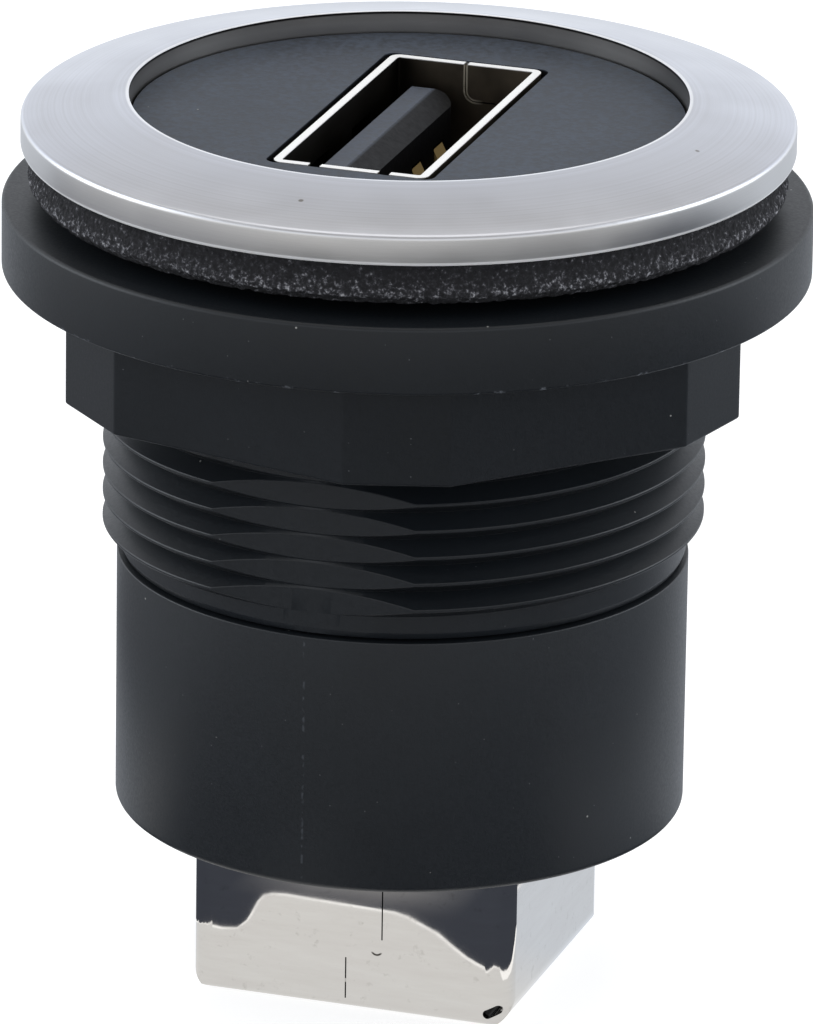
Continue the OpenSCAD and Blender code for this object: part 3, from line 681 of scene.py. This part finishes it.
def dark_card():
    """Card that only shows in reflections.

    It is slate near the object and grey beyond. In the middle a paler stretch lies between the two,
    and far to the left the card is pale too. It gives off these shades as its own light, so what
    the rear shell mirrors of it is a painted reflection.
    """
    made, tree, where, out = new_material("slate card")
    x, y, _ = axes(tree, where)
    slate, pale, far = srgb("474b55"), srgb("98989b"), srgb("6c6e72")
    place = span(tree, y, -26, -10, 1, 0)
    paler = ramp(tree, place, (0.0, slate), (0.3, srgb("4c4f59")), (0.44, pale), (0.7, pale),
                 (1.0, far))
    plain = ramp(tree, place, (0.0, slate), (0.6, srgb("4a4e58")), (1.0, far))
    middle = ramp(tree, span(tree, x, -10, 4, 0, 1), (0.14, grey(0.0)), (0.36, grey(1.0)),
                  (0.55, grey(1.0)), (0.8, grey(0.0)))
    shade = mix(tree, middle, plain, paler)
    shade = mix(tree, span(tree, x, -30, -55, 0, 1), shade, srgb("97999f"))
    # Painted reflection: the card glows with these shades
    tree.links.new(glow(tree, shade, 1.0), out.inputs[0])
    return made


def bright_edge():
    """Cut edge of the card, a glowing strip that only shows in reflections as a thin white line."""
    made, tree, _, out = new_material("white cut edge of the card")
    # Painted reflection: the strip glows white
    tree.links.new(glow(tree, grey(1.0), 1.5), out.inputs[0])
    return made


def sheet_on_floor(name, outline, height, material):
    """Flat stage piece from an outline in millimetres."""
    mesh = bpy.data.meshes.new(name)
    mesh.from_pydata([(x * MM, y * MM, height * MM) for x, y in outline], [],
                     [list(range(len(outline)))])
    mesh.materials.append(material)
    made = bpy.data.objects.new(name, mesh)
    bpy.context.scene.collection.objects.link(made)
    return made


FLOOR = 900
sheet_on_floor("floor", [(-FLOOR, -FLOOR), (FLOOR, -FLOOR), (FLOOR, FLOOR), (-FLOOR, FLOOR)],
               MOUTH_Z, white_table())

# The card's near edge is the border of the dark area that the rear shell mirrors, from the left
# fold round to the right one
CARD_EDGE = [
    (-8.0, 9), (-8.2, 0.5), (-10.1, -0.9), (-11.7, -3.65), (-11.6, -6.9), (-10.7, -9.0),
    (-9.2, -10.6), (-8.0, -11.65), (-7.4, -11.5), (-6.8, -11.35), (-6.3, -11.5), (-6.2, -12.3),
    (-6.3, -13.2), (-6.45, -14.3), (-6.45, -14.95), (-6.2, -15.25), (-5.7, -15.35), (-3.6, -15.2),
    (-1.3, -15.05), (-0.6, -14.75), (0.1, -14.2), (0.9, -13.6), (1.75, -12.65), (2.6, -11.75),
    (3.2, -11.25), (3.7, -10.9), (4.4, -10.8), (6.0, -11.1), (7.7, -11.0), (9.0, -10.2),
    (10.1, -9.0), (10.7, -7.2), (11.4, -4.6), (11.6, -0.5), (11.0, 2.5), (9.9, 4.3), (10.1, 8.0),
    (10.6, 12)]
CARD_BACK = [
    (17, 12), (21, 6), (21.5, -6), (30, -10.7), (32, 50), (150, 50), (150, -125), (-150, -125),
    (-150, 30), (-32, 30), (-30, -11.7), (-19.5, -6), (-18, 2), (-13, 8)]
CARD_LIFT, EDGE_LIFT = 0.1, 0.12
# Width of the bright edge along x and along y, at the right fold and elsewhere
FOLD_EDGE_W, THIN_EDGE_W = (0.9, 0.9), (0.08, 0.22)
card = sheet_on_floor("dark_card", CARD_EDGE + CARD_BACK, MOUTH_Z + CARD_LIFT, dark_card())
line = np.array(CARD_EDGE)
way = np.gradient(line, axis=0)
aside = np.stack([-way[:, 1], way[:, 0]], -1) / np.linalg.norm(way, axis=1, keepdims=True)
at_fold = (line[:, :1] > 10.2) & (line[:, 1:] < 3)
back_line = line + np.where(at_fold, FOLD_EDGE_W, THIN_EDGE_W) * aside
strip = sheet_on_floor("bright_card_edge", np.concatenate([line, back_line[::-1]]),
                       MOUTH_Z + EDGE_LIFT, bright_edge())
for sheet in (card, strip):
    sheet.visible_camera = sheet.visible_diffuse = sheet.visible_shadow = False

# Studio: bright and cool near the horizon, dimmer overhead; white to the camera
world = bpy.data.worlds.new("studio")
bpy.context.scene.world = world
sky = emptied(world)
ways = put(sky, "ShaderNodeLightPath").outputs
seen = maths(sky, "MAXIMUM", ways["Is Camera Ray"], ways["Is Transmission Ray"])
rise = axes(sky, put(sky, "ShaderNodeTexCoord").outputs["Generated"])[2]
light = ramp(sky, rise, (0.0, srgb("ebeef0")), (0.3, srgb("f0f5ff")), (0.65, srgb("a3a19f")),
             (1.0, srgb("9f9d9b")))
shown = mix(sky, seen, light, srgb("ffffff"))
studio = put(sky, "ShaderNodeBackground", Color=shown, Strength=1.32)
put(sky, "ShaderNodeOutputWorld", Surface=studio.outputs[0])

# Camera, worked out from the photograph: it stands 18 degrees round from -Y and looks down by 20
PIXELS_HIGH = 1024
FOCAL_PX = 11120.0
CAMERA_YAW, CAMERA_DROP, CAMERA_ROLL = map(math.radians, (18.15, 19.70, 0.86))
CAMERA_DIST, AIM_RIGHT, AIM_Z = 405.8, 0.12, -14.09
right = Vector((math.cos(CAMERA_YAW), math.sin(CAMERA_YAW), 0))
ahead = Vector((-math.sin(CAMERA_YAW), math.cos(CAMERA_YAW), 0))
forward = ahead * math.cos(CAMERA_DROP) - Vector((0, 0, math.sin(CAMERA_DROP)))
up = right.cross(forward)
rolled_right = right * math.cos(CAMERA_ROLL) + up * math.sin(CAMERA_ROLL)
rolled_up = up * math.cos(CAMERA_ROLL) - right * math.sin(CAMERA_ROLL)
eye = right * AIM_RIGHT + Vector((0, 0, AIM_Z)) - forward * CAMERA_DIST
lens = bpy.data.cameras.new("camera")
lens.lens = FOCAL_PX * lens.sensor_width / PIXELS_HIGH
lens.clip_start, lens.clip_end = 0.01, 10
camera = bpy.data.objects.new("camera", lens)
turn = Matrix((rolled_right, rolled_up, -forward)).transposed().to_4x4()
camera.matrix_world = Matrix.Translation(eye * MM) @ turn
bpy.context.scene.collection.objects.link(camera)
bpy.context.scene.camera = camera


def softbox(name, place, size, power, tint=(1, 1, 1)):
    """Square area lamp, aimed at the object's middle.

    Its place is given as (right, towards the camera, up) from there.
    """
    lamp = bpy.data.lights.new(name, "AREA")
    lamp.shape, lamp.size, lamp.energy, lamp.color = "SQUARE", size * MM, power, tint
    made = bpy.data.objects.new(name, lamp)
    middle = Vector((0, 0, AIM_Z))
    spot = middle + right * place[0] - ahead * place[1] + Vector((0, 0, place[2]))
    made.location = spot * MM
    made.rotation_mode = "QUATERNION"
    made.rotation_quaternion = (middle - spot).to_track_quat("-Z", "Y")
    bpy.context.scene.collection.objects.link(made)


COOL = (0.88, 0.94, 1.0)
softbox("softbox_top", (0, -60, 420), 420, 0.5)
softbox("softbox_left", (-420, -60, 160), 320, 0.72, COOL)
softbox("softbox_right", (420, -60, 160), 320, 0.66, COOL)

bpy.context.scene.view_settings.view_transform = "Standard"
